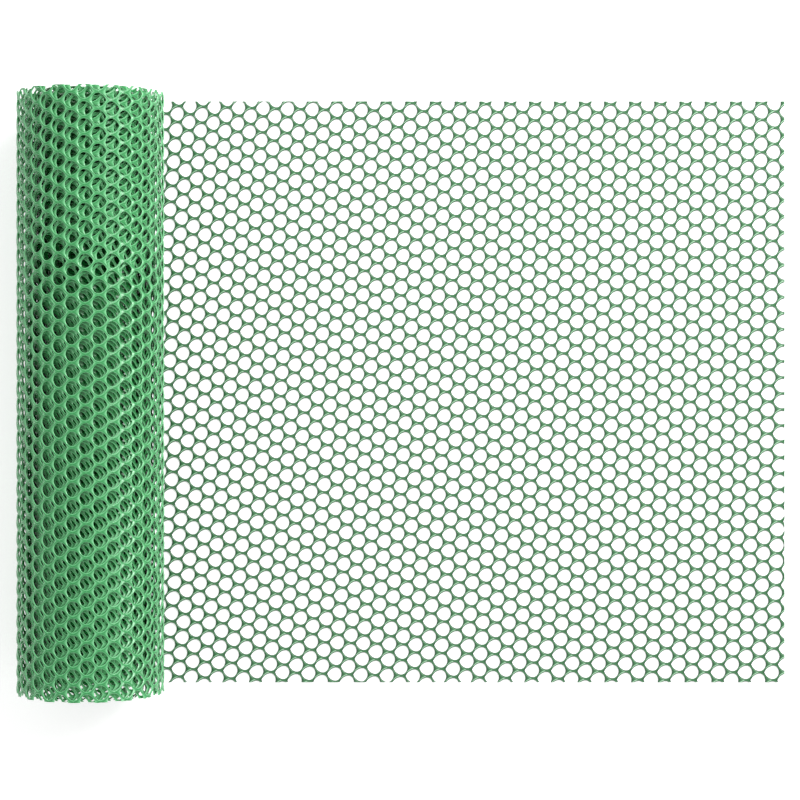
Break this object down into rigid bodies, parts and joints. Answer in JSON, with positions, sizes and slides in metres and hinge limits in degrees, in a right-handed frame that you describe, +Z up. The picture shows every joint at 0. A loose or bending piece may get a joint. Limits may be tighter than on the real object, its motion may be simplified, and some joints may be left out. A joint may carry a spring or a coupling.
{
  "type": "plastic poultry netting",
  "caption": "Roll of green plastic poultry netting with round-holed mesh, lying on its side with its free end unrolled flat.",
  "frame": {"origin": "middle of the footprint's bounding box, on the ground the netting lies on", "axes": "+X along the flat stretch towards its free end, +Y along the roll's axis, +Z up"},
  "size_m": [0.5196, 0.4, 0.0994],
  "materials": {
    "green_netting": "moulded green polyethylene with a soft gloss"
  },
  "bodies": {
    "root": {"netting": "green_netting"}
  },
  "joints": []
}
